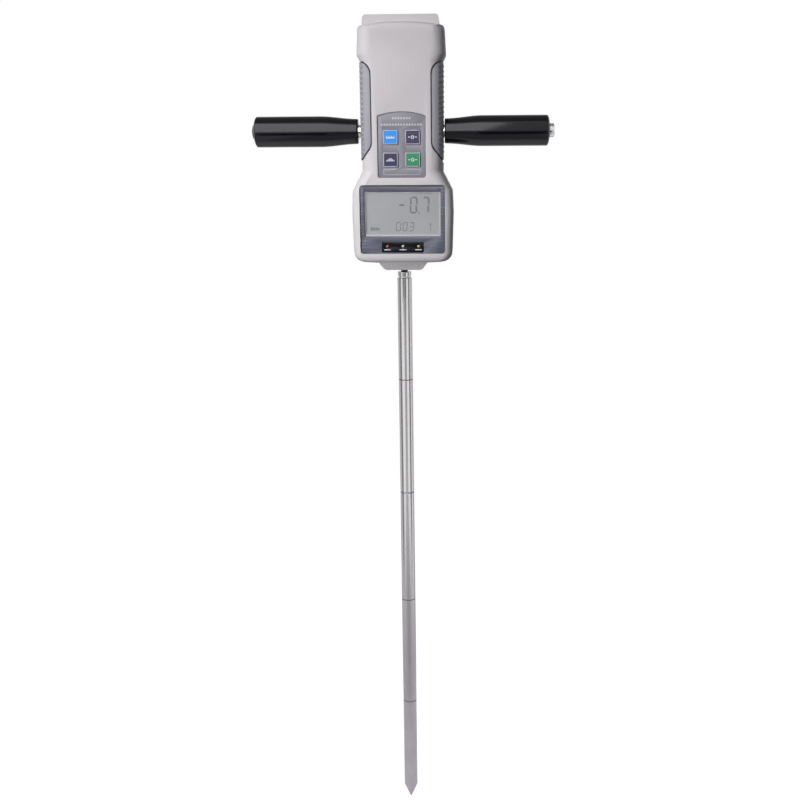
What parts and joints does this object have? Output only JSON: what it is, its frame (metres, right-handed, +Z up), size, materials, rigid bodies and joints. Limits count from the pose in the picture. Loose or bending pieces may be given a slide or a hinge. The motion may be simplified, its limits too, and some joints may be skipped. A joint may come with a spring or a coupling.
{
  "type": "soil penetrometer",
  "caption": "Hand-held digital soil penetrometer: force gauge with display, keypad and revolving T-handle grips above a screwed steel probe rod with a cone tip.",
  "frame": {"origin": "the point of the cone, on the probe's axis, with the part upright", "axes": "+Z up along the probe, display and keys face -Y, handles along X"},
  "size_m": [0.241, 0.04, 0.6888],
  "materials": {
    "case_plastic": "fine moulded grain, satin",
    "pad_rubber": "matte",
    "zinc_screw": "zinc plated",
    "bezel_plastic": "satin",
    "clear_window": "clear, glossy",
    "lcd_glass": "grey-green, glossy",
    "white_plastic": "satin",
    "black_plastic": "satin",
    "red_lens": "translucent, glossy",
    "white_lens": "translucent, glossy",
    "yellow_lens": "translucent, glossy",
    "keypad_grey": "fine texture, matte",
    "key_light_blue": "satin",
    "key_navy": "satin",
    "key_green": "satin",
    "board_laminate": "solder mask, satin",
    "battery_sleeve": "shrink sleeve, glossy",
    "beam_aluminium": "machined",
    "cell_aluminium": "machined",
    "bright_steel": "turned",
    "lead_rubber": "matte",
    "spindle_chrome": "polished",
    "handle_black": "glossy",
    "rod_steel": "turned stainless, bright"
  },
  "bodies": {
    "gauge": {"front_shell": "case_plastic", "rear_shell": "case_plastic", "left_side_pad": "pad_rubber", "right_side_pad": "pad_rubber", "case_screws": "zinc_screw", "display_bezel": "bezel_plastic", "display_window": "clear_window", "lcd_panel": "lcd_glass", "lcd_holder": "white_plastic", "status_strip": "black_plastic", "red_lamp": "red_lens", "white_lamp": "white_lens", "yellow_lamp": "yellow_lens", "keypad_plate": "keypad_grey", "key_switches": "black_plastic", "main_board": "board_laminate", "board_screws": "zinc_screw", "buzzer": "black_plastic", "charging_socket": "black_plastic", "battery_cells": "battery_sleeve", "battery_tray": "black_plastic", "cross_beam": "beam_aluminium", "load_cell": "cell_aluminium", "cell_spacer": "bright_steel", "cell_bolt": "bright_steel", "sensor_lead": "lead_rubber", "load_stud": "bright_steel", "stud_nut": "bright_steel", "stud_seal": "lead_rubber", "stand_plate": "beam_aluminium", "plate_screws": "zinc_screw", "left_spindle": "spindle_chrome", "right_spindle": "spindle_chrome", "left_plug": "handle_black", "right_cap": "spindle_chrome", "upper_rod": "rod_steel", "lower_rod": "rod_steel", "joint_stud": "bright_steel", "cone_tip": "rod_steel"},
    "unit_key": {"unit_key": "key_light_blue"},
    "zero_key": {"zero_key": "key_navy"},
    "peak_key": {"peak_key": "key_navy"},
    "power_key": {"power_key": "key_green"},
    "left_handle": {"left_handle": "handle_black"},
    "right_handle": {"right_handle": "handle_black"}
  },
  "joints": [
    {"name": "unit_press", "type": "slide", "parent": "gauge", "child": "unit_key", "axis": [0, 1, 0], "range_m": [0, 0.0005], "stiffness_N_per_m": 3000},
    {"name": "zero_press", "type": "slide", "parent": "gauge", "child": "zero_key", "axis": [0, 1, 0], "range_m": [0, 0.0005], "stiffness_N_per_m": 3000},
    {"name": "peak_press", "type": "slide", "parent": "gauge", "child": "peak_key", "axis": [0, 1, 0], "range_m": [0, 0.0005], "stiffness_N_per_m": 3000},
    {"name": "power_press", "type": "slide", "parent": "gauge", "child": "power_key", "axis": [0, 1, 0], "range_m": [0, 0.0005], "stiffness_N_per_m": 3000},
    {"name": "left_handle_spin", "type": "hinge", "parent": "gauge", "child": "left_handle", "pos_m": [-0.0767, 0, 0.6023], "axis": [1, 0, 0], "continuous": true},
    {"name": "right_handle_spin", "type": "hinge", "parent": "gauge", "child": "right_handle", "pos_m": [0.075, 0, 0.6023], "axis": [1, 0, 0], "continuous": true}
  ]
}
